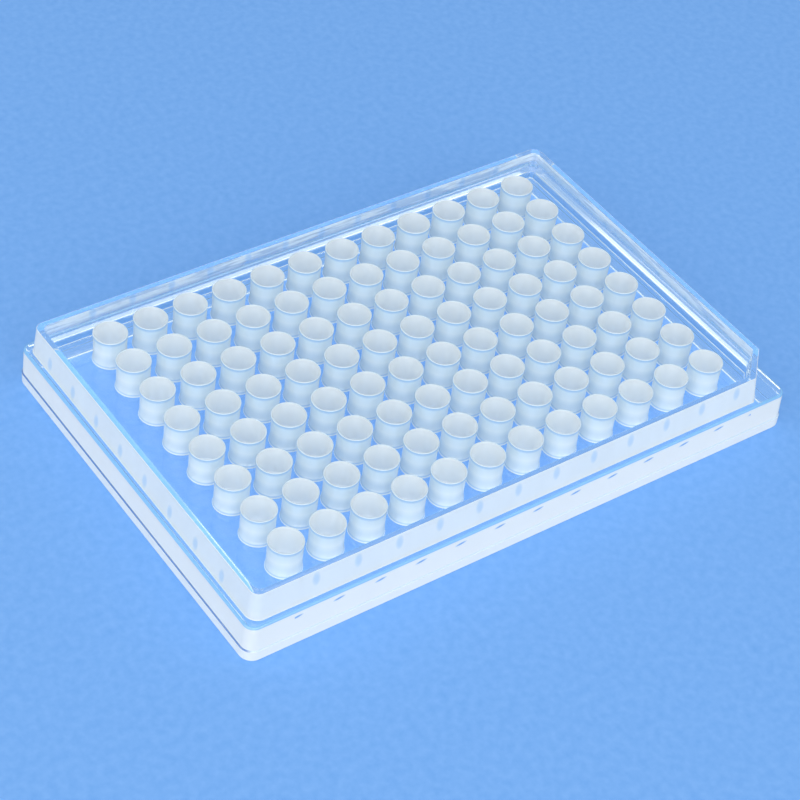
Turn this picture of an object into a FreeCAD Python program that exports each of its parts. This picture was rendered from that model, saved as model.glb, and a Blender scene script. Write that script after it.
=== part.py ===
import FreeCAD, Part
import os
import Sketcher
from FreeCAD import Vector

# A shallow well plate, moulded in one piece from clear polystyrene. A skirt with a wider foot carries a flat
# web; a rim wall with one cut-off corner and a grid of open cups stand on the web and end at one height.
# Millimetres. The origin is the middle of the footprint, on the surface that the plate stands on; X runs
# along the rows of wells, Y from the front row to the back row, +Z up.

DOCUMENT_NAME = "well_plate"
NODE = "plate"

DIMENSIONS = [
    ("plate_length", 127.76, "footprint along X"),
    ("plate_width", 85.48, "footprint along Y"),
    ("plate_height", 14.35, "from the surface it stands on to the rim and the lips of the cups"),
    ("foot_corner", 2.6, "corner radius of the footprint"),
    ("foot_height", 2.41, "height of the wider foot band"),
    ("foot_step", 0.2, "how far the skirt stands inside the foot band"),
    ("ledge_height", 8.35, "height of the ledge round the rim wall"),
    ("skirt_draft", 2.4, "degrees that each outer face of the skirt leans in"),
    ("skirt_wall", 1.2, "width of the surface that the plate stands on"),
    ("hollow_draft", 3.0, "degrees that each wall of the hollow under the web leans in"),
    ("hollow_corner", 1.4, "corner radius of that hollow, at the bottom"),
    ("web_drop", 0.55, "from the ledge down to the web's upper face, which is the floor of the wells"),
    ("web_thickness", 1.3, "thickness of the web"),
    ("rim_inset", 1.7, "width of the ledge, from the footprint to the rim wall"),
    ("rim_draft", 6.5, "degrees that the rim wall's outer faces lean in"),
    ("rim_corner", 2.5, "radius of the rim wall's outer corners, at the ledge"),
    ("rim_top", 1.2, "thickness of the rim wall at its top"),
    ("basin_draft", 3.5, "degrees that the rim wall's inner faces lean in"),
    ("basin_corner", 1.5, "radius of the rim wall's inner corners, at the top"),
    ("key_corner", 6.8, "leg of the cut-off corner that shows which way round the plate is, at the ledge"),
    ("well_pitch", 9.0, "from the middle of one well to the next, both ways"),
    ("well_diameter", 6.1, "inside of a cup"),
    ("cup_wall", 0.3, "thickness of a cup's wall"),
    ("moat", 3.0, "least gap between the outer cups and the foot of the rim wall"),
    ("edge_break", 0.2, "flat that takes the sharpness off the foot, the ledge and the rim"),
]

# heights and insets that follow from the sizes above; a name in braces is a size
WEB_TOP = "({ledge_height} - {web_drop})"
RIM_HEIGHT = "({plate_height} - {ledge_height})"
BASIN_DEPTH = "({plate_height} - {ledge_height} + {web_drop})"
RIM_LEAN = "%s * tan({rim_draft} * 1 deg)" % RIM_HEIGHT
BASIN_TOP_INSET = "({rim_inset} + %s + {rim_top})" % RIM_LEAN
BASIN_FOOT_INSET = "(%s + %s * tan({basin_draft} * 1 deg))" % (BASIN_TOP_INSET, BASIN_DEPTH)
# a cut keeps the wall's thickness when its leg loses (2 - sqrt(2)) of what the two sides move in by
BASIN_KEY = "{key_corner} - (2 - sqrt(2)) * (%s + {rim_top})" % RIM_LEAN
# as many wells as leave the moat free: a span of pitches from the first well to the last, each way
WELL_ROOM = "(%s + {moat} + {well_diameter} / 2 + {cup_wall})" % BASIN_FOOT_INSET
PITCHES_ALONG = "floor(({plate_length} - 2 * %s) / {well_pitch})" % WELL_ROOM
PITCHES_ACROSS = "floor(({plate_width} - 2 * %s) / {well_pitch})" % WELL_ROOM

START, END, CENTRE = 1, 2, 3
ORIGIN = -1
SIDES = 4
QUARTER = 1.5707963267948966
TOLERANCE = 0.001
LEAST_CUT = 1.0

doc = FreeCAD.newDocument(DOCUMENT_NAME)


def make_sheet():
    """Write the driving dimensions into a spreadsheet: a name, a value and a note on each row."""
    cells = doc.addObject("Spreadsheet::Sheet", "sizes")
    for row, (alias, value, note) in enumerate(DIMENSIONS, start=1):
        cells.set("A%d" % row, alias)
        cells.set("B%d" % row, str(value))
        cells.set("C%d" % row, note)
        cells.setAlias("B%d" % row, alias)
    doc.recompute()
    return cells


sheet = make_sheet()


def size(alias):
    """The value that the spreadsheet holds under a name."""
    return float(sheet.get(alias))


def bind(item, path, formula):
    """Bind a property or a constraint to a formula, whose names in braces are the spreadsheet's."""
    item.setExpression(path, formula.replace("{", "sizes.").replace("}", ""))


def origin_part(body, role):
    """One of the body's own origin planes or axes."""
    return [feature for feature in body.Origin.OriginFeatures if feature.Role == role][0]


def new_sketch(body, name, height=None):
    """A level sketch, lifted above the surface that the plate stands on by a formula."""
    sketch = body.newObject("Sketcher::SketchObject", name)
    sketch.AttachmentSupport = [(origin_part(body, "XY_Plane"), "")]
    sketch.MapMode = "FlatFace"
    if height:
        bind(sketch, ".AttachmentOffset.Base.z", height)
    doc.recompute()
    return sketch


def named(sketch, name, formula, constraint):
    """Add a constraint that has a name and takes its value from a formula."""
    index = sketch.addConstraint(constraint)
    sketch.renameConstraint(index, name)
    bind(sketch, "Constraints." + name, formula)


def outline(sketch, inset, radius, key=None):
    """Draw the plate's rounded rectangle, set in from the footprint all round.

    inset, radius and key are formulas. The corner at +X -Y is rounded like the others, or cut off at
    45 degrees where key gives the leg of the cut, measured from the corner that the two sides would meet in.
    The sides are lines 0 to 3, front, right, back and left; the cut is line 4, and the arcs come last.
    """
    half_x, half_y = size("plate_length") / 2, size("plate_width") / 2
    drawn = size("foot_corner")
    front_end = Vector(half_x - drawn, -half_y, 0)
    right_start = Vector(half_x, -half_y + drawn, 0)
    lines = [
        Part.LineSegment(Vector(-half_x + drawn, -half_y, 0), front_end),
        Part.LineSegment(right_start, Vector(half_x, half_y - drawn, 0)),
        Part.LineSegment(Vector(half_x - drawn, half_y, 0), Vector(-half_x + drawn, half_y, 0)),
        Part.LineSegment(Vector(-half_x, half_y - drawn, 0), Vector(-half_x, -half_y + drawn, 0)),
    ]
    for line in lines:
        sketch.addGeometry(line, False)
    for line, kind in enumerate(("Horizontal", "Vertical", "Horizontal", "Vertical")):
        sketch.addConstraint(Sketcher.Constraint(kind, line))

    corners = [(1, -1, -QUARTER), (1, 1, 0.0), (-1, 1, QUARTER), (-1, -1, 2 * QUARTER)]
    arc = SIDES
    if key:
        sketch.addGeometry(Part.LineSegment(front_end, right_start), False)
        sketch.addConstraint(Sketcher.Constraint("Coincident", 0, END, SIDES, START))
        sketch.addConstraint(Sketcher.Constraint("Coincident", SIDES, END, 1, START))
        named(sketch, "key_along", key, Sketcher.Constraint("DistanceX", SIDES, START, SIDES, END, drawn))
        named(sketch, "key_across", key, Sketcher.Constraint("DistanceY", SIDES, START, SIDES, END, drawn))
        arc += 1
    first_arc = arc
    for side, (sign_x, sign_y, angle) in enumerate(corners):
        if key and side == 0:
            continue
        middle = Vector(sign_x * (half_x - drawn), sign_y * (half_y - drawn), 0)
        circle = Part.Circle(middle, Vector(0, 0, 1), drawn)
        sketch.addGeometry(Part.ArcOfCircle(circle, angle, angle + QUARTER), False)
        sketch.addConstraint(Sketcher.Constraint("Tangent", side, END, arc, START))
        sketch.addConstraint(Sketcher.Constraint("Tangent", arc, END, (side + 1) % SIDES, START))
        if arc > first_arc:
            sketch.addConstraint(Sketcher.Constraint("Equal", first_arc, arc))
        arc += 1
    named(sketch, "corner", radius, Sketcher.Constraint("Radius", first_arc, drawn))

    along = "{plate_length} / 2 - (%s)" % inset
    across = "{plate_width} / 2 - (%s)" % inset
    named(sketch, "front", across, Sketcher.Constraint("DistanceY", 0, START, ORIGIN, START, half_y))
    named(sketch, "right", along, Sketcher.Constraint("DistanceX", ORIGIN, START, 1, START, half_x))
    named(sketch, "back", across, Sketcher.Constraint("DistanceY", ORIGIN, START, 2, START, half_y))
    named(sketch, "left", along, Sketcher.Constraint("DistanceX", 3, START, ORIGIN, START, half_x))
    doc.recompute()
    return sketch


def pad(body, name, sketch, length, taper="0"):
    """Raise a sketch; a negative taper leans the sides in."""
    feature = body.newObject("PartDesign::Pad", name)
    feature.Profile = sketch
    bind(feature, "Length", length)
    bind(feature, "TaperAngle", taper)
    doc.recompute()
    return feature


def pocket(body, name, sketch, length, taper, upwards=False):
    """Sink a sketch into the body; a negative taper narrows the pocket as it goes."""
    before = body.Shape.Volume
    feature = body.newObject("PartDesign::Pocket", name)
    feature.Profile = sketch
    feature.Reversed = upwards
    bind(feature, "Length", length)
    bind(feature, "TaperAngle", taper)
    doc.recompute()
    if body.Shape.Volume > before - LEAST_CUT:
        raise RuntimeError(name + " cuts nothing")
    return feature


def skirt(body):
    """The foot band and the skirt above it, still solid inside."""
    foot = outline(new_sketch(body, "foot_outline"), "0", "{foot_corner}")
    pad(body, "foot_band", foot, "{foot_height}")
    wall = outline(new_sketch(body, "skirt_outline", "{foot_height}"), "{foot_step}",
                   "{foot_corner} - {foot_step}")
    pad(body, "skirt", wall, "{ledge_height} - {foot_height}", "-{skirt_draft}")


def rim(body):
    """The rim block on the ledge, with its cut-off corner, then the basin sunk into it down to the web."""
    block = outline(new_sketch(body, "rim_outline", "{ledge_height}"), "{rim_inset}", "{rim_corner}",
                    "{key_corner}")
    pad(body, "rim", block, RIM_HEIGHT, "-{rim_draft}")
    basin = outline(new_sketch(body, "basin_outline", "{plate_height}"), BASIN_TOP_INSET,
                    "{basin_corner}", BASIN_KEY)
    pocket(body, "basin", basin, BASIN_DEPTH, "-{basin_draft}")


def hollow(body):
    """The open hollow under the web."""
    mouth = outline(new_sketch(body, "hollow_outline"), "{skirt_wall}", "{hollow_corner}")
    pocket(body, "hollow", mouth, WEB_TOP + " - {web_thickness}", "-{hollow_draft}", upwards=True)


def level_edges(shape, height, furthest):
    """Names of the edges that lie level at a height and start less than a distance in from the footprint."""
    half_x, half_y = size("plate_length") / 2, size("plate_width") / 2
    names = []
    for number, edge in enumerate(shape.Edges, start=1):
        ends = [vertex.Point for vertex in edge.Vertexes]
        middle = edge.valueAt((edge.FirstParameter + edge.LastParameter) / 2)
        inset = min(min(half_x - abs(end.x), half_y - abs(end.y)) for end in ends)
        if inset < furthest and all(abs(point.z - height) < TOLERANCE for point in ends + [middle]):
            names.append("Edge%d" % number)
    return names


def broken_edges(body):
    """Take the sharpness off the foot, the ledge and both edges of the rim."""
    names = level_edges(body.Shape, 0, size("skirt_wall") / 2)
    names += level_edges(body.Shape, size("ledge_height"), size("rim_inset") / 2)
    names += level_edges(body.Shape, size("plate_height"), size("plate_width") / 2)
    base = body.Tip
    feature = body.newObject("PartDesign::Chamfer", "edges")
    feature.Base = (base, names)
    bind(feature, "Size", "{edge_break}")
    doc.recompute()


def cups(body):
    """One cup on the web at the front left, repeated over a grid whose middle is the plate's."""
    drawn = Vector(size("well_pitch") - size("plate_length") / 2,
                   size("well_pitch") - size("plate_width") / 2, 0)
    ring = new_sketch(body, "cup_outline", WEB_TOP)
    walls = (("cup", "{well_diameter} + 2 * {cup_wall}", size("cup_wall")), ("well", "{well_diameter}", 0))
    for number, (name, diameter, wall) in enumerate(walls):
        radius = size("well_diameter") / 2 + wall
        ring.addGeometry(Part.Circle(drawn, Vector(0, 0, 1), radius), False)
        named(ring, name, diameter, Sketcher.Constraint("Diameter", number, 2 * radius))
    ring.addConstraint(Sketcher.Constraint("Coincident", 0, CENTRE, 1, CENTRE))
    named(ring, "first_column", PITCHES_ALONG + " / 2 * {well_pitch}",
          Sketcher.Constraint("DistanceX", 0, CENTRE, ORIGIN, START, -drawn.x))
    named(ring, "first_row", PITCHES_ACROSS + " / 2 * {well_pitch}",
          Sketcher.Constraint("DistanceY", 0, CENTRE, ORIGIN, START, -drawn.y))
    doc.recompute()
    cup = pad(body, "cup", ring, BASIN_DEPTH)

    grid = body.newObject("PartDesign::LinearPattern", "cup_grid")
    grid.Originals = [cup]
    for suffix, role, pitches in (("", "X_Axis", PITCHES_ALONG), ("2", "Y_Axis", PITCHES_ACROSS)):
        setattr(grid, "Direction" + suffix, (origin_part(body, role), [""]))
        bind(grid, "Length" + suffix, pitches + " * {well_pitch}")
        bind(grid, "Occurrences" + suffix, pitches + " + 1")
    body.Tip = grid
    doc.recompute()
    return grid


def well_walls(shape):
    """How many round walls of a well's size the shape has."""
    radii = [face.Surface.Radius for face in shape.Faces if isinstance(face.Surface, Part.Cylinder)]
    return sum(abs(2 * radius - size("well_diameter")) < TOLERANCE for radius in radii)


plate = doc.addObject("PartDesign::Body", NODE)
plate.Label = NODE
plate.Placement = FreeCAD.Placement()
skirt(plate)
rim(plate)
hollow(plate)
broken_edges(plate)
grid = cups(plate)

faulty = [item.Name for item in doc.Objects if {"Invalid", "Error"} & set(item.State)]
if faulty:
    raise RuntimeError("failed features: " + ", ".join(faulty))
shape = plate.Shape
if shape.isNull() or not shape.isValid() or len(shape.Solids) != 1:
    raise RuntimeError(NODE + " is not one valid solid")
wells = grid.Occurrences * grid.Occurrences2
if well_walls(shape) != wells:
    raise RuntimeError("%d wells where %d were meant" % (well_walls(shape), wells))
os.makedirs("parts", exist_ok=True)
shape.exportStep("parts/%s.step" % NODE)
print("%s: %d wells, volume %.1f mm3, height %.2f mm" % (NODE, wells, shape.Volume, shape.BoundBox.ZLength))
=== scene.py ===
import bpy
import numpy as np
from mathutils import Matrix, Vector


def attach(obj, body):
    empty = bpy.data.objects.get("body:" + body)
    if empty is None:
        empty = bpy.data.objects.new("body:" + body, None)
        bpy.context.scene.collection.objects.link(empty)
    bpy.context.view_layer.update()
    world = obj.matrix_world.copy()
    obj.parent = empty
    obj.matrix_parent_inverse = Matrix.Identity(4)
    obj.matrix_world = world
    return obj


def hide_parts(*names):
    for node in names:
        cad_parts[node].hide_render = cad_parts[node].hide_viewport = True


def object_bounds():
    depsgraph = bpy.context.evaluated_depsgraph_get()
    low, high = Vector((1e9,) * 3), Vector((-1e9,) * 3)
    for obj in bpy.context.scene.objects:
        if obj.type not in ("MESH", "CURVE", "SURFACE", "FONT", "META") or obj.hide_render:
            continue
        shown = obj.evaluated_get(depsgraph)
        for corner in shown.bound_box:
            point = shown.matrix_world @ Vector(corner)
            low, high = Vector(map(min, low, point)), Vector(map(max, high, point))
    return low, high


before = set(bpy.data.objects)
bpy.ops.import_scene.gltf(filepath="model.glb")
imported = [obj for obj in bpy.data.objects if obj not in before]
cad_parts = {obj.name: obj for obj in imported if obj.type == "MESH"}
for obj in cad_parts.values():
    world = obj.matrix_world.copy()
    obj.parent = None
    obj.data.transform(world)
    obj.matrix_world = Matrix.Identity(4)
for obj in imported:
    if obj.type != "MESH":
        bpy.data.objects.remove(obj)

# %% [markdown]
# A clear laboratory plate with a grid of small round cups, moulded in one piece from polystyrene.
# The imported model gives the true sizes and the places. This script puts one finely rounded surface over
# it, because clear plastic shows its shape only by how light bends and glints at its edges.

CAD_LOW, CAD_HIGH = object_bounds()
print("CAD box in mm", [round(1000 * v, 2) for v in (*CAD_LOW, *CAD_HIGH)])

# %% [markdown]
# The camera looks down from the front left, turned a little on its own axis. A long lens keeps the rows of
# wells nearly parallel. Its place is worked out from two angles and a distance, so that each can be changed
# by itself.

# %% Camera
AZIMUTH, ELEVATION, ROLL = np.radians([-40.01, 42.95, 7.75])
DISTANCE = 0.46017
ASIDE = (0.001595, -0.005066)
AIM = np.array([0.0, 0.0, 0.007])
SENSOR_WIDTH, LENS = 36, 104.6
NEAREST, FARTHEST = 0.01, 20


def camera_axes(azimuth, elevation, roll):
    """Rows: to the camera's right, downwards in the picture, and forwards.

    Forwards is the opposite of the direction given by the two angles; right is forwards crossed with up,
    and down is forwards crossed with right. Roll turns the first two about the third.
    """
    back = np.array([np.sin(azimuth) * np.cos(elevation), -np.cos(azimuth) * np.cos(elevation),
                     np.sin(elevation)])
    right = np.cross(-back, [0.0, 0.0, 1.0])
    right /= np.linalg.norm(right)
    up = np.cross(right, -back)
    turn = np.array([[np.cos(roll), -np.sin(roll), 0], [np.sin(roll), np.cos(roll), 0], [0, 0, 1]])
    return turn @ np.array([right, -up, -back])


axes = camera_axes(AZIMUTH, ELEVATION, ROLL)
camera = bpy.data.objects.new("camera", bpy.data.cameras.new("camera"))
bpy.context.scene.collection.objects.link(camera)
camera.data.sensor_width, camera.data.lens = SENSOR_WIDTH, LENS
camera.data.clip_start, camera.data.clip_end = NEAREST, FARTHEST
camera_place = AIM - axes.T @ np.array([*ASIDE, DISTANCE])
camera_turn = Matrix(np.array([axes[0], -axes[1], -axes[2]]).T.tolist()).to_4x4()
camera.matrix_world = Matrix.Translation(camera_place.tolist()) @ camera_turn
bpy.context.scene.camera = camera
bpy.context.scene.view_settings.view_transform = "Standard"
print("camera at", [round(1000 * v) for v in camera_place], "mm")

# %% [markdown]
# Skies, floors and finishes are small networks of nodes. A few helpers make the nodes and link them, so that
# each recipe below reads as one line for one effect.

# %% Helpers for shader nodes
def add(tree, kind, **values):
    """A node of a kind, with values for its inputs; an underscore in a name stands for a space."""
    node = tree.nodes.new("ShaderNode" + kind)
    for name, value in values.items():
        node.inputs[name.replace("_", " ")].default_value = value
    return node


def feed(tree, source, target):
    """Link an output to an input, or set the input where the source is a plain value."""
    if isinstance(source, bpy.types.NodeSocket):
        tree.links.new(source, target)
    else:
        target.default_value = source


def maths(tree, operation, *values):
    """The output of a Math node on outputs or numbers."""
    node = tree.nodes.new("ShaderNodeMath")
    node.operation = operation
    for value, socket in zip(values, node.inputs):
        feed(tree, value, socket)
    return node.outputs[0]


def fade(tree, value, low, high, at_low, at_high, kind="SMOOTHSTEP"):
    """A value that goes from one number to another as its source goes from low to high."""
    node = tree.nodes.new("ShaderNodeMapRange")
    node.interpolation_type = kind
    for socket, source in zip(node.inputs, (value, low, high, at_low, at_high)):
        feed(tree, source, socket)
    return node.outputs[0]


def choose(tree, share, first, second):
    """The first value at a share of 0, the second at 1, and in between by that share."""
    return fade(tree, share, 0.0, 1.0, first, second, kind="LINEAR")


def tinted(tree, share, here, there):
    """A colour between two, by a share."""
    node = tree.nodes.new("ShaderNodeMix")
    node.data_type = "RGBA"
    for socket, source in zip((node.inputs[0], node.inputs[6], node.inputs[7]), (share, here, there)):
        feed(tree, source, socket)
    return node.outputs[2]


def blend(tree, share, first, second):
    """A Mix Shader of two shader nodes."""
    node = tree.nodes.new("ShaderNodeMixShader")
    feed(tree, share, node.inputs[0])
    tree.links.new(first.outputs[0], node.inputs[1])
    tree.links.new(second.outputs[0], node.inputs[2])
    return node


# %% [markdown]
# Two wide soft lamps light the plate from the front and the left. A small lamp would be mirrored in the
# polished web as a hard white patch. A wide one of the same power is less bright at each point, and draws
# soft white lines along the foot of the rim.

# %% Lamps
LAMP_WHITE = (1.0, 0.98, 0.95)
LAMP_POWER = 20.0


def lamp(name, spot, width):
    """A square soft lamp at a spot, turned towards the origin."""
    light = bpy.data.lights.new(name, "AREA")
    light.size = width
    light.energy = LAMP_POWER
    light.color = LAMP_WHITE
    holder = bpy.data.objects.new(name, light)
    turn = (-Vector(spot)).to_track_quat("-Z", "Y").to_matrix().to_4x4()
    holder.matrix_world = Matrix.Translation(spot) @ turn
    bpy.context.scene.collection.objects.link(holder)


lamp("lamp_left", (-1.50, -0.25, 1.00), width=2.00)
lamp("lamp_front", (-0.15, -1.52, 0.90), width=1.80)
print("two lamps of", LAMP_POWER, "W")

# %% [markdown]
# An even pale sky lights the rest. Clear plastic shows whatever its mirrored and bent rays meet, and a
# greyish sky would draw brown lines in it. So those rays and the camera see a light blue backdrop. It is only
# looked at: the light on the plate comes from the plain sky.

# %% Sky
SKY, SKY_STRENGTH = (0.97, 0.98, 1.0, 1), 0.52
BACKDROP, BACKDROP_STRENGTH = (0.66, 0.85, 1.0, 1), 0.9

world = bpy.data.worlds.new("sky")
world.use_nodes = True
sky_tree = world.node_tree
plain_sky = sky_tree.nodes["Background"]
feed(sky_tree, SKY, plain_sky.inputs["Color"])
feed(sky_tree, SKY_STRENGTH, plain_sky.inputs["Strength"])
backdrop = add(sky_tree, "Background", Color=BACKDROP, Strength=BACKDROP_STRENGTH)
ray = sky_tree.nodes.new("ShaderNodeLightPath").outputs
mirrored_or_bent = maths(sky_tree, "MAXIMUM", ray["Is Glossy Ray"], ray["Is Transmission Ray"])
seen = maths(sky_tree, "MAXIMUM", ray["Is Camera Ray"], mirrored_or_bent)
two_skies = blend(sky_tree, seen, plain_sky, backdrop)
feed(sky_tree, two_skies.outputs[0], sky_tree.nodes["World Output"].inputs["Surface"])
bpy.context.scene.world = world
print("a sky with", len(sky_tree.nodes), "nodes")

# %% [markdown]
# The object stands on a plain pale blue floor. Clear plastic has no colour of its own, so a floor with a
# light tint sets off the whiter upright walls. A fine grain keeps it from looking painted.

# %% Floor
FLOOR_BLUE = (0.13, 0.36, 0.82, 1)
FLOOR_GRAIN = (0.22, 0.47, 0.93, 1)
GRAIN_SCALE = 600.0
FLOOR_ROUGHNESS = 0.8
FLOOR_DROP, FLOOR_REACH = 5e-5, 6.0

floor_finish = bpy.data.materials.new("floor_paper")
floor_finish.use_nodes = True
floor_tree = floor_finish.node_tree
paper = floor_tree.nodes["Principled BSDF"]
feed(floor_tree, FLOOR_ROUGHNESS, paper.inputs["Roughness"])
grain = add(floor_tree, "TexNoise", Scale=GRAIN_SCALE)
feed(floor_tree, floor_tree.nodes.new("ShaderNodeTexCoord").outputs["Object"], grain.inputs["Vector"])
feed(floor_tree, tinted(floor_tree, grain.outputs[0], FLOOR_BLUE, FLOOR_GRAIN), paper.inputs["Base Color"])

ways_out = ((-1, -1), (1, -1), (1, 1), (-1, 1))
floor_corners = [(x * FLOOR_REACH, y * FLOOR_REACH, -FLOOR_DROP) for x, y in ways_out]
floor_mesh = bpy.data.meshes.new("floor")
floor_mesh.from_pydata(floor_corners, [], [(0, 1, 2, 3)])
floor_mesh.materials.append(floor_finish)
floor = bpy.data.objects.new("floor", floor_mesh)
bpy.context.scene.collection.objects.link(floor)
print("a floor", 2 * FLOOR_REACH, "m wide")

# %% [markdown]
# The tray is the skirt, the ledge and the rim wall round the wells. On the real plate they are thin walls
# that lean a little so that they leave the mould, with every edge slightly round. They could be cut from
# blocks, but then the round edges would be lost, and those carry all the glints. So their section is drawn
# once, as a line of distance in from the footprint and height, and each bend of it is softened.

# %% The tray's section, in millimetres
LENGTH, WIDTH, HEIGHT = (1000 * (high - low) for low, high in zip(CAD_LOW, CAD_HIGH))
WEB_TOP, WEB_UNDER, LEDGE, FOOT = 7.8, 6.5, 8.35, 2.41
CLEAR, CUP_WALL, CUP_INSIDE, RIM_WALL, SKIRT_WALL = range(5)

# each bend: across, height, how far from it its rounding starts, steps in it, its finish, the next stretch's
TRAY = [
    (5.50, WEB_UNDER, 0.00, 0, CLEAR, CLEAR),
    (1.54, WEB_UNDER, 0.06, 2, CLEAR, CLEAR),
    (1.20, 0.00, 0.06, 1, CLEAR, CLEAR),
    (0.00, 0.00, 0.20, 3, SKIRT_WALL, SKIRT_WALL),
    (0.00, FOOT, 0.05, 1, SKIRT_WALL, SKIRT_WALL),
    (0.20, FOOT, 0.04, 1, SKIRT_WALL, SKIRT_WALL),
    (0.45, LEDGE, 0.46, 4, SKIRT_WALL, CLEAR),
    (1.70, LEDGE, 0.10, 2, RIM_WALL, RIM_WALL),
    (2.38, HEIGHT, 0.10, 3, RIM_WALL, CLEAR),
    (3.58, HEIGHT, 0.10, 3, CLEAR, CLEAR),
    (3.98, WEB_TOP, 0.20, 3, CLEAR, CLEAR),
    (5.00, WEB_TOP, 0.00, 0, CLEAR, CLEAR),
]


def soften(bends, apart):
    """Round each bend of a line by a parabola that starts and ends a reach away from it.

    A parabola's points are (1-t)^2 A + 2t(1-t) V + t^2 B, with V the bend and A and B the points a reach
    along the two stretches. Where there is room, one more point lies a little further along each stretch, so
    that flat faces stay flat in shading. Returns the points, the bend that each belongs to, and the finish of
    the stretch from each point to the next.
    """
    painted_well_spots = np.array([bend[:2] for bend in bends])
    points, owners, finishes = [painted_well_spots[:1]], [0], [bends[0][5]]
    for number in range(1, len(bends) - 1):
        before, spot, after = painted_well_spots[number - 1:number + 2]
        reach, steps, rounding, finish = bends[number][2:]
        back = (before - spot) / np.linalg.norm(before - spot)
        on = (after - spot) / np.linalg.norm(after - spot)
        t = np.linspace(0, 1, steps + 1)[:, None] if steps else np.array([[0.5]])
        curve = (1 - t) ** 2 * (spot + reach * back) + 2 * t * (1 - t) * spot + t ** 2 * (spot + reach * on)
        room = 2 * (reach + apart)
        lead = int(apart > 0 and steps > 0 and np.linalg.norm(before - spot) > room)
        tail = int(apart > 0 and steps > 0 and np.linalg.norm(after - spot) > room)
        points += [[spot + (reach + apart) * back]] * lead + [curve] + [[spot + (reach + apart) * on]] * tail
        finishes += [finishes[-1]] * lead + [rounding] * steps + [finish] * (1 + tail)
        owners += [number] * (lead + len(curve) + tail)
    return np.vstack([*points, painted_well_spots[-1:]]), np.array(owners + [len(bends) - 1]), np.array(finishes)


FLAT_MARGIN = 0.12
tray_line, tray_owner, tray_finish = soften(TRAY, apart=FLAT_MARGIN)
print("the tray's section has", len(tray_line), "points")

# %% [markdown]
# The line is carried round the plate on rings. A ring is a rounded rectangle whose points on the straight
# sides lie on lines between the wells, so that the rings can close up to the web. The rim's rings have one
# corner cut off at 45 degrees. A cut that moves in by as much as the sides keeps the wall even, and its leg
# then loses 2 minus the square root of 2 of that.

# %% Rings round the plate
PITCH, COLUMNS, ROWS = 9.0, 12, 8
SIDE_STEPS, CORNER_STEPS = 8, 11
GRID_X = np.linspace(-1, 1, COLUMNS * SIDE_STEPS + 1) * COLUMNS * PITCH / 2
GRID_Y = np.linspace(-1, 1, ROWS * SIDE_STEPS + 1) * ROWS * PITCH / 2
KEY_LEG, KEY_INSET, KEY_BEND = 6.8, 1.7, 0.5
SMALLEST_RADIUS = 0.5
# for each bend of the tray's section: corner radius, the inset it is given at, and whether one corner is cut
WALLS = [(1.4, 1.2, False)] * 3 + [(2.6, 0.0, False)] * 4 + [(2.5, 1.7, True)] * 2 + [(1.5, 3.58, True)] * 3


def arc(middle, radius, start, end, steps):
    """Points of a circle about a middle, from one angle in degrees to another."""
    angle = np.radians(np.linspace(start, end, steps + 1))
    return middle + radius * np.column_stack([np.cos(angle), np.sin(angle)])


def ring(x, y, radius, leg=None):
    """One ring between -x and x and -y and y, anticlockwise from the front left.

    It has four sides with a corner after each. A corner is a quarter circle about a middle that lies a radius
    in from both sides. The cut corner is two eighths of a circle joined by the cut; each touches its side the
    bend's radius times the tangent of 22.5 degrees before the cut would meet it.
    """
    corners = [arc((sx * (x - radius), sy * (y - radius)), radius, 90 * turn - 90, 90 * turn, CORNER_STEPS)
               for turn, (sx, sy) in enumerate([(1, -1), (1, 1), (-1, 1), (-1, -1)])]
    if leg:
        reach = leg + KEY_BEND * np.tan(np.pi / 8)
        corners[0] = np.vstack([arc((x - reach, KEY_BEND - y), KEY_BEND, -90, -45, CORNER_STEPS // 2),
                                arc((x - KEY_BEND, reach - y), KEY_BEND, -45, 0, CORNER_STEPS // 2)])
    along, across = np.minimum(GRID_X, corners[0][0, 0]), np.maximum(GRID_Y, corners[0][-1, 1])
    sides = [(along, -y), (x, across), (GRID_X[::-1], y), (-x, GRID_Y[::-1])]
    return np.vstack([piece for side, end in zip(sides, corners)
                      for piece in (np.column_stack(np.broadcast_arrays(*side)), end)])


def raised(flat, height):
    """Points of a plane with one height added."""
    return np.column_stack([flat, np.full(len(flat), float(height))])


rings = []
for (inset, height), owner in zip(tray_line, tray_owner):
    radius, given_at, cut = WALLS[owner]
    leg = None
    if cut:
        leg = KEY_LEG - (2 - np.sqrt(2)) * (inset - KEY_INSET)
    radius = max(radius + given_at - inset, SMALLEST_RADIUS)
    rings.append(raised(ring(LENGTH / 2 - inset, WIDTH / 2 - inset, radius, leg), height))
rings.append(raised(ring(GRID_X[-1], GRID_Y[-1], 0.0), WEB_TOP))
rings = np.array(rings)
print(rings.shape[0], "rings of", rings.shape[1], "points")

# %% [markdown]
# The wells are 96 open cups that stand on the web. Each could be a tube set on a plate, but in one moulding
# the wall flares into the web with a small foot bead, and thickens a little at the lip. So each square of the
# web closes from its four sides to a circle, and goes on as the cup's own section turned about its axis: up
# the outside, over the lip and down to the floor.

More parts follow.
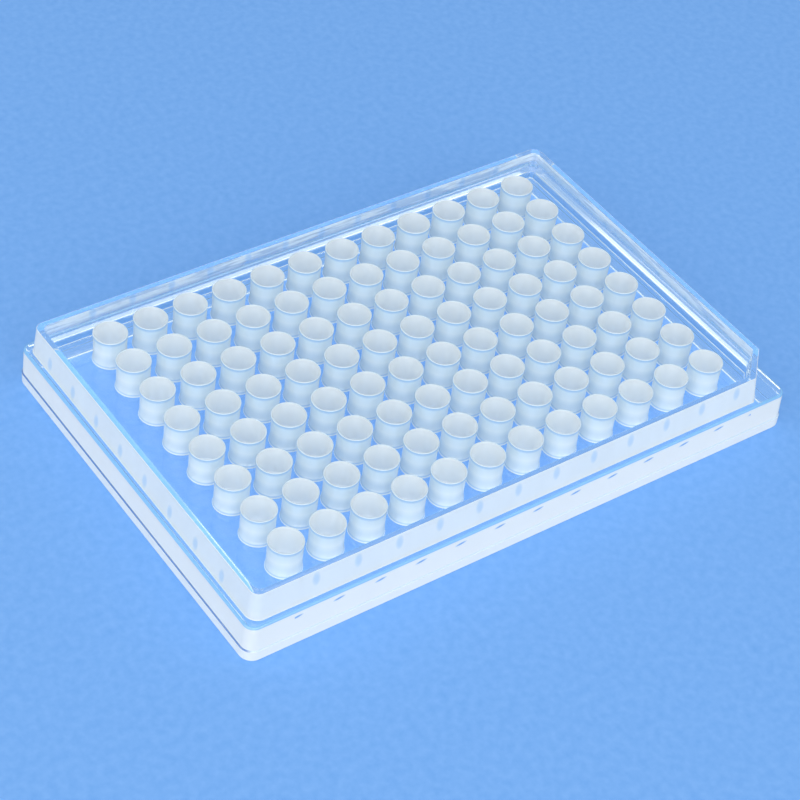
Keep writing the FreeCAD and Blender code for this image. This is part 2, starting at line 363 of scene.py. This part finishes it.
# %% One cup's section, and 96 of them
# across is now the distance from the cup's axis
CUP = [
    (3.80, WEB_TOP, 0.00, 0, CLEAR, CLEAR),
    (3.50, WEB_TOP, 0.04, 1, CUP_WALL, CUP_WALL),
    (3.47, WEB_TOP + 0.24, 0.09, 1, CUP_WALL, CUP_WALL),
    (3.34, WEB_TOP + 1.10, 0.55, 2, CUP_WALL, CUP_WALL),
    (3.30, WEB_TOP + 4.30, 1.30, 3, CUP_WALL, CUP_WALL),
    (3.46, HEIGHT, 0.08, 2, CUP_WALL, CUP_WALL),
    (3.22, HEIGHT, 0.08, 2, CUP_WALL, CUP_INSIDE),
    (3.02, HEIGHT - 1.40, 0.60, 1, CUP_INSIDE, CUP_INSIDE),
    (2.90, WEB_TOP, 0.35, 2, CUP_INSIDE, CLEAR),
    (2.20, WEB_TOP, 0.00, 0, CLEAR, CLEAR),
    (0.00, WEB_TOP, 0.00, 0, CLEAR, CLEAR),
]
cup_line, _, cup_finish = soften(CUP, apart=0.0)
ROUND_STEPS = 4 * SIDE_STEPS
FIRST_CORNER = -135
turn = np.radians(FIRST_CORNER + np.arange(ROUND_STEPS) * 360 / ROUND_STEPS)
circle = np.column_stack([np.cos(turn), np.sin(turn)])
edge = np.linspace(-1, 1, SIDE_STEPS + 1)[:-1] * PITCH / 2
half = np.full(SIDE_STEPS, PITCH / 2)
sides = ((edge, -half), (half, edge), (-edge, half), (-half, -edge))
square = np.vstack([np.column_stack(side) for side in sides])

outline = [raised(square, WEB_TOP)]
outline += [raised(radius * circle, height) for radius, height in cup_line]
outline = np.array(outline)
columns = (np.arange(COLUMNS) - (COLUMNS - 1) / 2) * PITCH
rows = (np.arange(ROWS) - (ROWS - 1) / 2) * PITCH
middles = np.array(np.meshgrid(columns, rows, [0.0])).reshape(3, -1).T
cups = middles[:, None, None, :] + outline[None]
print(len(middles), "cups of", outline.shape[0], "rings of", outline.shape[1], "points")

# %% [markdown]
# All of it becomes one closed skin, as the plate is one piece, so light that enters the plastic always leaves
# it again. Points that lie together are merged, and a face that loses a side there becomes a triangle.

# %% One closed mesh
WELD = 0.001  # mm


def between(rows_of_points, start):
    """Quads between each closed row of points and the next: along a row, up to the next, and back."""
    count, around = rows_of_points.shape[-3:-1]
    index = start + np.arange(np.prod(rows_of_points.shape[:-1])).reshape(rows_of_points.shape[:-1])
    here, ahead = index, np.roll(index, -1, axis=-1)
    low, high = slice(0, count - 1), slice(1, count)
    return np.stack([here[..., low, :], ahead[..., low, :], ahead[..., high, :], here[..., high, :]], axis=-1)


tray_quads = between(rings, 0)
cup_quads = between(cups, rings[..., 0].size)
points = np.vstack([rings.reshape(-1, 3), cups.reshape(-1, 3)])
around = rings.shape[1]
tray_faces = np.repeat(np.append(tray_finish, CLEAR)[:len(rings) - 1], around)
cup_faces = np.tile(np.repeat(np.append(CLEAR, cup_finish), ROUND_STEPS), len(middles))
quads = np.vstack([tray_quads.reshape(-1, 4), cup_quads.reshape(-1, 4)])
finish = np.concatenate([tray_faces, cup_faces])

_, first, merged = np.unique(np.round(points / WELD).astype(np.int64), axis=0, return_index=True,
                             return_inverse=True)
points, merged = points[first], merged.ravel()
quads = merged[quads]
lost = quads == np.roll(quads, -1, axis=1)
whole, short = lost.sum(1) == 0, lost.sum(1) == 1
triangles = quads[short][~lost[short]].reshape(-1, 3)
underside = merged[:around][::-1]
underside = underside[underside != np.roll(underside, 1)]

skin = bpy.data.meshes.new("plate_skin")
faces = quads[whole].tolist() + triangles.tolist() + [underside.tolist()]
skin.from_pydata((points / 1000).tolist(), [], faces)
face_finish = np.concatenate([finish[whole], finish[short], [CLEAR]]).astype(np.int32)
skin.polygons.foreach_set("material_index", face_finish)
skin.polygons.foreach_set("use_smooth", np.ones(len(face_finish), bool))
skin.update()
print(len(points), "points,", 2 * int(whole.sum()) + len(triangles) + len(underside) - 2, "triangles")

# %% [markdown]
# The skin becomes an object that stands at the origin, takes the plate's place in the imported model and moves
# with its root. A closed skin matters twice over for clear plastic: a gap would let light in without
# bending it, and the volume of plastic could not be measured.

# %% The object, and whether its skin is closed
import bmesh

plate = bpy.data.objects.new("well_plate_moulding", skin)
bpy.context.scene.collection.objects.link(plate)
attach(plate, "root")
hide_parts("plate")

CUBIC_MM = 1e9
measured = bmesh.new()
measured.from_mesh(skin)
open_edges = sum(1 for side in measured.edges if not side.is_manifold)
skin_volume = measured.calc_volume() * CUBIC_MM
measured.free()
print(open_edges, "open edges,", round(skin_volume), "mm3 of plastic")

# %% [markdown]
# Clear polystyrene has no colour of its own, so a finish is mostly how light passes through it. On the real
# plate the level faces are polished, as the mould's are, and the upright walls look frosted. A painted white
# wall would hide what lies behind it, and plain glass would hide the wall. So each finish mixes a glass
# shader with a milky one, and the share of the milky one says how frosted the wall is. Every pattern is set
# by the place on the plate, so it stays where it is when the plate moves.

# %% Where a point lies on the plate, and noise there
def place_on_plate(tree):
    """The X, Y and Z outputs of the place on the object, in metres."""
    split = tree.nodes.new("ShaderNodeSeparateXYZ")
    feed(tree, tree.nodes.new("ShaderNodeTexCoord").outputs["Object"], split.inputs[0])
    return split.outputs


def stretched_place(tree, stretch):
    """The place on the object with its height times a stretch, so that a pattern there is lower by that."""
    x, y, z = place_on_plate(tree)
    joined = tree.nodes.new("ShaderNodeCombineXYZ")
    for socket, source in zip(joined.inputs, (x, y, maths(tree, "MULTIPLY", z, stretch))):
        feed(tree, source, socket)
    return joined.outputs[0]


def noise(tree, place, scale, detail):
    """The value of a soft noise at a place."""
    node = add(tree, "TexNoise", Detail=detail, Roughness=0.5)
    feed(tree, place, node.inputs["Vector"])
    feed(tree, scale, node.inputs["Scale"])
    return node.outputs[0]


# %% Helpers for node groups
def new_group(name, inputs, output):
    """An empty node group with named number inputs and one number output."""
    group = bpy.data.node_groups.new(name, "ShaderNodeTree")
    for label, value in inputs.items():
        socket = group.interface.new_socket(label, in_out="INPUT", socket_type="NodeSocketFloat")
        socket.default_value = value
    group.interface.new_socket(output, in_out="OUTPUT", socket_type="NodeSocketFloat")
    return group, group.nodes.new("NodeGroupInput").outputs, group.nodes.new("NodeGroupOutput").inputs


def use(tree, group, **values):
    """Place a group in a material with its own values, and return its output."""
    node = tree.nodes.new("ShaderNodeGroup")
    node.node_tree = group
    for name, value in values.items():
        node.inputs[name.replace("_", " ")].default_value = value
    return node.outputs[0]


# %% [markdown]
# Plastic that is pushed into a mould flows, and cools a little unevenly, which leaves soft clouds and a fine
# grain. One group makes both from noise, and each finish chooses their sizes. Where the stretch is small the
# clouds stand upright like the marks of the flow, and where it is large they lie along the wall.

# %% Group: clouds and grain
CLOUD_DETAIL, GRAIN_DETAIL = 3.0, 2.0
clouds, given, result = new_group(
    "moulding_clouds",
    {"Cloud scale": 60.0, "Grain scale": 900.0, "Grain share": 0.3, "Upright stretch": 1.0}, "Value")
place = stretched_place(clouds, given["Upright stretch"])
cloud = noise(clouds, place, given["Cloud scale"], CLOUD_DETAIL)
fine_grain = noise(clouds, place, given["Grain scale"], GRAIN_DETAIL)
feed(clouds, choose(clouds, given["Grain share"], cloud, fine_grain), result["Value"])
print("group", clouds.name, "with", len(clouds.nodes), "nodes")

# %% [markdown]
# The two ends of the plate and its two long sides don't look quite the same, so a small group says which of
# them a place belongs to. It compares how far the place lies out towards an end with how far it lies out
# towards a long side.

# %% Group: on the ends
ends, given, result = new_group("on_the_ends", {"Blur": 0.0001}, "Mask")
x, y, z = place_on_plate(ends)
out_x = maths(ends, "SUBTRACT", maths(ends, "ABSOLUTE", x), LENGTH / 2000)
out_y = maths(ends, "SUBTRACT", maths(ends, "ABSOLUTE", y), WIDTH / 2000)
lead_of_x = maths(ends, "SUBTRACT", out_x, out_y)
blur = given["Blur"]
feed(ends, fade(ends, lead_of_x, maths(ends, "MULTIPLY", blur, -1.0), blur, 0.0, 1.0), result["Mask"])
print("group", ends.name, "with", len(ends.nodes), "nodes")

# %% [markdown]
# The wells show through the walls as bent light, and that is painted into the walls' colour as a row of soft
# marks, one to each pitch. They could be painted one by one, but the row follows a rule, so a group draws
# them:
# it takes the distance along the wall to the nearest mark and the distance up to it, each as a share of the
# mark's half size, and fades with the sum of their squares.

# %% Group: painted marks of the wells seen through the walls, at their pitch
MARK_END = 1.6
painted_well_group, given, result = new_group(
    "painted_well_images",
    {"Side shift": 0.0, "End shift": 0.0, "Side height": 0.0, "End height": 0.0, "Half length": 0.001,
     "Half height": 0.001, "Slant": 0.0, "Share on the ends": 1.0}, "Mask")
x, y, z = place_on_plate(painted_well_group)
on_end = use(painted_well_group, ends)
run = choose(painted_well_group, on_end, x, y)
along = maths(painted_well_group, "SUBTRACT", run, choose(painted_well_group, on_end, given["Side shift"], given["End shift"]))
along = maths(painted_well_group, "WRAP", along, PITCH / 2000, -PITCH / 2000)
up = maths(painted_well_group, "SUBTRACT", z, choose(painted_well_group, on_end, given["Side height"], given["End height"]))
up = maths(painted_well_group, "SUBTRACT", up, maths(painted_well_group, "MULTIPLY", along, given["Slant"]))
squares = []
for offset, half_size in ((along, given["Half length"]), (up, given["Half height"])):
    share = maths(painted_well_group, "DIVIDE", offset, half_size)
    squares.append(maths(painted_well_group, "MULTIPLY", share, share))
mark = fade(painted_well_group, maths(painted_well_group, "ADD", *squares), 0.0, MARK_END, 1.0, 0.0)
reach = choose(painted_well_group, on_end, COLUMNS * PITCH / 2000, ROWS * PITCH / 2000)
inside_grid = maths(painted_well_group, "LESS_THAN", maths(painted_well_group, "ABSOLUTE", run), reach)
strength = maths(painted_well_group, "MULTIPLY", inside_grid, choose(painted_well_group, on_end, 1.0, given["Share on the ends"]))
feed(painted_well_group, maths(painted_well_group, "MULTIPLY", mark, strength), result["Mask"])
print("group", painted_well_group.name, "with", len(painted_well_group.nodes), "nodes")

# %% [markdown]
# Two shaders serve every finish. The clear one bends light as polystyrene does. The milky one is a frosted
# surface together with a glow that comes through from its other side, since a thin frosted wall is lit from
# both.

# %% Shaders that the finishes share
IOR = 1.59
GLASS = (0.97, 0.985, 1.0, 1)


def clear_plastic(tree, roughness):
    """Clear polystyrene."""
    return add(tree, "BsdfPrincipled", Base_Color=GLASS, Roughness=roughness, IOR=IOR,
               Transmission_Weight=1.0)


def milky_plastic(tree, colour, roughness, through):
    """Frosted polystyrene, with the share of its light that comes through from the other side."""
    frost = add(tree, "BsdfPrincipled", Roughness=roughness, IOR=IOR)
    glow = tree.nodes.new("ShaderNodeBsdfTranslucent")
    feed(tree, colour, frost.inputs["Base Color"])
    feed(tree, colour, glow.inputs["Color"])
    return blend(tree, through, frost, glow)


# %% [markdown]
# How frosted a wall looks depends on the angle: light goes a longer way through it where it is seen edge on.
# A wall's frost lies on its outer face, and it shows less where it is looked at from within the plastic.

# %% How milky a wall looks
FROST_TURN = (0.25, 0.60)


def facing(tree, low, high, at_low, at_high):
    """A value that changes as the surface turns from face on, at 0, to edge on, at 1."""
    turned = add(tree, "LayerWeight", Blend=0.5).outputs["Facing"]
    return fade(tree, turned, low, high, at_low, at_high, kind="LINEAR")


def frosted(tree, face, inner=0.0):
    """The milky share of a wall: one seen face on, 1 edge on, and another from within the plastic."""
    within = tree.nodes.new("ShaderNodeNewGeometry").outputs["Backfacing"]
    return choose(tree, within, facing(tree, *FROST_TURN, face, 1.0), inner)


# %% [markdown]
# Real light finds its way out of the plastic after many turns, and a lamp seen through a bent surface is
# found only by luck. Both would leave dark spots here. So each finish lets the lamps' light pass straight
# through, less what the plastic holds back, and lets a ray that has turned many times go straight on.

# %% The start and the end of a finish
MANY_TURNS = 4.5
CLEAR_LAMP_LIGHT, WALL_LAMP_LIGHT = 0.95, 0.75


def new_finish(name):
    """A material without shaders, and its node tree."""
    finish = bpy.data.materials.new(name)
    finish.use_nodes = True
    finish.node_tree.nodes.remove(finish.node_tree.nodes["Principled BSDF"])
    return finish, finish.node_tree


def end_finish(finish, shader, lamp_light):
    """Give the finish its shader and the share of lamp light that passes, and add it to the plate."""
    tree = finish.node_tree
    path = tree.nodes.new("ShaderNodeLightPath")
    passes = maths(tree, "MULTIPLY", path.outputs["Is Shadow Ray"], lamp_light)
    turned_often = maths(tree, "GREATER_THAN", path.outputs["Ray Depth"], MANY_TURNS)
    straight_on = tree.nodes.new("ShaderNodeBsdfTransparent")
    shader = blend(tree, maths(tree, "MAXIMUM", passes, turned_often), shader, straight_on)
    feed(tree, shader.outputs[0], tree.nodes["Material Output"].inputs["Surface"])
    skin.materials.append(finish)
    print("finish", finish.name, "with", len(tree.nodes), "nodes")


def finish_wall(finish, colour, share, milk_roughness, through, clear_roughness=0.04):
    """End a frosted wall's finish, with the share of milky plastic over clear."""
    tree = finish.node_tree
    milk = milky_plastic(tree, colour, milk_roughness, through)
    end_finish(finish, blend(tree, share, clear_plastic(tree, clear_roughness), milk), WALL_LAMP_LIGHT)


# %% [markdown]
# A wall's colour changes with height: the painted line of shade and bent light under a lip, the painted
# highlight of a foot. A colour ramp set by height in millimetres keeps those places in one list, and they stay
# at the same heights when the light changes.

# %% Colours by height, and clouds over them
def by_height(tree, stops):
    """A colour for each height in millimetres, blended from one to the next."""
    low, high = stops[0][0], stops[-1][0]
    ramp = tree.nodes.new("ShaderNodeValToRGB")
    z = place_on_plate(tree)["Z"]
    feed(tree, fade(tree, z, low / 1000, high / 1000, 0.0, 1.0, kind="LINEAR"), ramp.inputs[0])
    while len(ramp.color_ramp.elements) < len(stops):
        ramp.color_ramp.elements.new(0.5)
    for element, (height, colour) in zip(ramp.color_ramp.elements, stops):
        element.position = (height - low) / (high - low)
        element.color = (*colour, 1)
    return ramp.outputs[0]


def clouded(tree, colour, haze, amount):
    """A colour darkened by up to an amount where the haze is thin."""
    darker = tinted(tree, 1 - amount, (0, 0, 0, 1), colour)
    return tinted(tree, haze, darker, colour)


# %% [markdown]
# The web, the ledge, the cups' floors and the inner side of the skirt are polished and clear. A trace of
# roughness stands for the wear of the mould, and clouds make it uneven.

# %% Finish: clear moulding
SMOOTHEST, ROUGHEST = 0.02, 0.04
CLOUD_RANGE = (0.3, 0.7)
clear, tree = new_finish("clear_moulding")
haze = use(tree, clouds, Cloud_scale=70.0, Grain_share=0.1)
polished = clear_plastic(tree, ROUGHEST)
feed(tree, fade(tree, haze, *CLOUD_RANGE, SMOOTHEST, ROUGHEST), polished.inputs["Roughness"])
end_finish(clear, polished, CLEAR_LAMP_LIGHT)

# %% [markdown]
# The cups' walls are frosted. Seen from outside, the bead at the foot and the lip each bend the light so
# that a thin blue line of the ground shows beside them, with a white edge next to it. Those lines and edges
# are painted into the colour by height as painted bent light and painted highlights, and the frost is painted
# darker at the foot and under the lip as painted shade.

# %% Finish: outside of the cups
cup_outside, tree = new_finish("cup_outside")
# painted highlights at the bead and the lip, painted blue lines of bent light, and painted shade at the foot
# and neck
BEAD_PAINTED_HIGHLIGHT, LIP_PAINTED_HIGHLIGHT = (0.84, 0.95, 1.0), (0.82, 0.94, 1.0)
PAINTED_BENT_LIGHT_BLUE, LIP_PAINTED_SHADE_BLUE = (0.42, 0.64, 0.88), (0.40, 0.62, 0.88)
FOOT_FROST_PAINTED_SHADE, MIDDLE_FROST, NECK_FROST_PAINTED_SHADE = (0.71, 0.84, 0.92), (0.83, 0.935, 0.975), (0.70, 0.85, 0.94)
colour = by_height(tree, [
    (WEB_TOP, BEAD_PAINTED_HIGHLIGHT),
    (WEB_TOP + 0.20, BEAD_PAINTED_HIGHLIGHT),
    (WEB_TOP + 0.34, PAINTED_BENT_LIGHT_BLUE),
    (WEB_TOP + 0.70, FOOT_FROST_PAINTED_SHADE),
    (WEB_TOP + 2.20, FOOT_FROST_PAINTED_SHADE),
    (WEB_TOP + 3.60, MIDDLE_FROST),
    (WEB_TOP + 5.60, NECK_FROST_PAINTED_SHADE),
    (WEB_TOP + 6.12, PAINTED_BENT_LIGHT_BLUE),
    (WEB_TOP + 6.35, LIP_PAINTED_SHADE_BLUE),
    (WEB_TOP + 6.48, LIP_PAINTED_HIGHLIGHT),
])
haze = use(tree, clouds, Cloud_scale=300.0, Grain_share=0.2, Upright_stretch=0.3)
colour = clouded(tree, colour, haze, amount=0.08)
finish_wall(cup_outside, colour, frosted(tree, face=0.92), milk_roughness=0.25, through=0.2)

# %% [markdown]
# Inside, the cups are paler and more even, as light falls in from above and comes through the wall from all
# round. So their white is painted paler than the outside's frost, as painted light, the glow has a larger
# share there, and the clouds are fainter.

# %% Finish: inside of the cups
# a paler white painted inside: painted light falling in from above
INSIDE_PAINTED_LIGHT_WHITE = (0.93, 0.985, 1.0, 1)
cup_inside, tree = new_finish("cup_inside")
haze = use(tree, clouds, Cloud_scale=300.0, Grain_share=0.2, Upright_stretch=0.3)
colour = clouded(tree, INSIDE_PAINTED_LIGHT_WHITE, haze, amount=0.04)
finish_wall(cup_inside, colour, frosted(tree, face=0.95), milk_roughness=0.25, through=0.5)

# %% [markdown]
# The rim's outer face is frosted, with soft blue marks painted where the wells show through, as painted bent
# light. Looked at from within, across the plate, the same face is clear low down and streaky white towards the
# top, and only where it is met nearly face on; otherwise it would cloud the wall's own top face. The streaks
# set how the two shaders are mixed and no colour, so their noise stands in the material itself and not in a
# group.

# %% Finish: rim wall
RIM_WHITE, PAINTED_WELL_BLUE, PAINTED_WELL_SHARE = (0.92, 0.98, 0.97, 1), (0.42, 0.66, 0.90, 1), 0.55
rim_wall, tree = new_finish("rim_wall")
haze = use(tree, clouds, Cloud_scale=180.0, Grain_share=0.15, Upright_stretch=0.25)
# soft blue spots painted at the wells' pitch: painted bent light of the wells seen through the wall
painted_well_spots = use(tree, painted_well_group, Side_shift=0.00525, End_shift=0.0058, Side_height=0.0125, End_height=0.0104,
            Half_length=0.0008, Half_height=0.0015)
colour = clouded(tree, RIM_WHITE, haze, amount=0.12)
colour = tinted(tree, maths(tree, "MULTIPLY", painted_well_spots, PAINTED_WELL_SHARE), colour, PAINTED_WELL_BLUE)

# %% The rim wall from within
STREAK_HEIGHTS = [(LEDGE, 0.0), (LEDGE + 2.05, 0.0), (LEDGE + 3.55, 0.75), (HEIGHT, 0.90)]
STREAK_SCALE, STREAK_STRETCH = 90.0, 9.0
STREAK_RANGE, THIN_STREAK, FULL_STREAK = (0.38, 0.58), 0.45, 1.0
INNER_TURN = (0.25, 0.42)
white_by_height = by_height(tree, [(height, (share,) * 3) for height, share in STREAK_HEIGHTS])
streaks = noise(tree, stretched_place(tree, STREAK_STRETCH), STREAK_SCALE, CLOUD_DETAIL)
streaks = fade(tree, streaks, *STREAK_RANGE, THIN_STREAK, FULL_STREAK)
streaky = maths(tree, "MULTIPLY", white_by_height, streaks)
inner = maths(tree, "MULTIPLY", streaky, facing(tree, *INNER_TURN, 1.0, 0.0))
finish_wall(rim_wall, colour, frosted(tree, face=0.88, inner=inner), milk_roughness=0.2, through=0.2,
            clear_roughness=0.05)

# %% [markdown]
# The skirt is the whitest part. A thin line of painted shade runs round it at the foot's step, faint on the
# long sides and dark on the ends, where the step shades itself. Just under the ledge the edge bends the blue
# of the ground into view; that blue is painted into the colour. Short slanting dashes painted on the long
# sides are the wells again, seen through the ledge.

# %% Finish: skirt
skirt_wall, tree = new_finish("skirt_wall")
SKIRT_WHITE, STEP_PAINTED_SHADE_GREY = (1.0, 1.0, 0.92), (0.75, 0.88, 0.95)
EDGE_PAINTED_BENT_BLUE, LEDGE_PAINTED_BENT_BLUE = (0.30, 0.62, 0.95), (0.26, 0.58, 0.95)
colour = by_height(tree, [
    (0.0, SKIRT_WHITE),
    (FOOT - 0.10, SKIRT_WHITE),
    # painted shade: a thin grey line at the foot's step
    (FOOT - 0.02, STEP_PAINTED_SHADE_GREY),
    (FOOT + 0.06, STEP_PAINTED_SHADE_GREY),
    (FOOT + 0.25, SKIRT_WHITE),
    (LEDGE - 0.60, SKIRT_WHITE),
    # painted bent light: the ground's blue just under the ledge
    (LEDGE - 0.42, EDGE_PAINTED_BENT_BLUE),
    (LEDGE, LEDGE_PAINTED_BENT_BLUE),
])

# %% Painted shade of the step, darker on the ends, and painted marks of the wells on the long sides
LINE_HEIGHT, LINE_CORE, LINE_FADE = (FOOT + 0.03) / 1000, 0.00008, 0.00022
LINE_SHARE, STEP_PAINTED_SHADE_DARK = 0.9, (0.06, 0.20, 0.55, 1)
PAINTED_DASH_SHARE, PAINTED_DASH_BLUE = 0.9, (0.16, 0.42, 0.80, 1)
from_line = maths(tree, "ABSOLUTE", maths(tree, "SUBTRACT", place_on_plate(tree)["Z"], LINE_HEIGHT))
# a thin dark line of painted shade at the step, kept to the ends
painted_step_shade = fade(tree, from_line, LINE_CORE, LINE_FADE, LINE_SHARE, 0.0)
painted_step_shade = maths(tree, "MULTIPLY", painted_step_shade, use(tree, ends, Blur=0.001))
haze = use(tree, clouds, Cloud_scale=120.0, Grain_share=0.15, Upright_stretch=0.4)
colour = clouded(tree, tinted(tree, painted_step_shade, colour, STEP_PAINTED_SHADE_DARK), haze, amount=0.06)
# slanting blue dashes painted at the wells' pitch: painted bent light of the wells seen through the ledge
painted_dashes = use(tree, painted_well_group, Side_shift=0.0005, Side_height=0.00675, Half_length=0.0012, Half_height=0.00028,
             Slant=0.12, Share_on_the_ends=0.0)
colour = tinted(tree, maths(tree, "MULTIPLY", painted_dashes, PAINTED_DASH_SHARE), colour, PAINTED_DASH_BLUE)
finish_wall(skirt_wall, colour, frosted(tree, face=0.92), milk_roughness=0.2, through=0.2,
            clear_roughness=0.05)
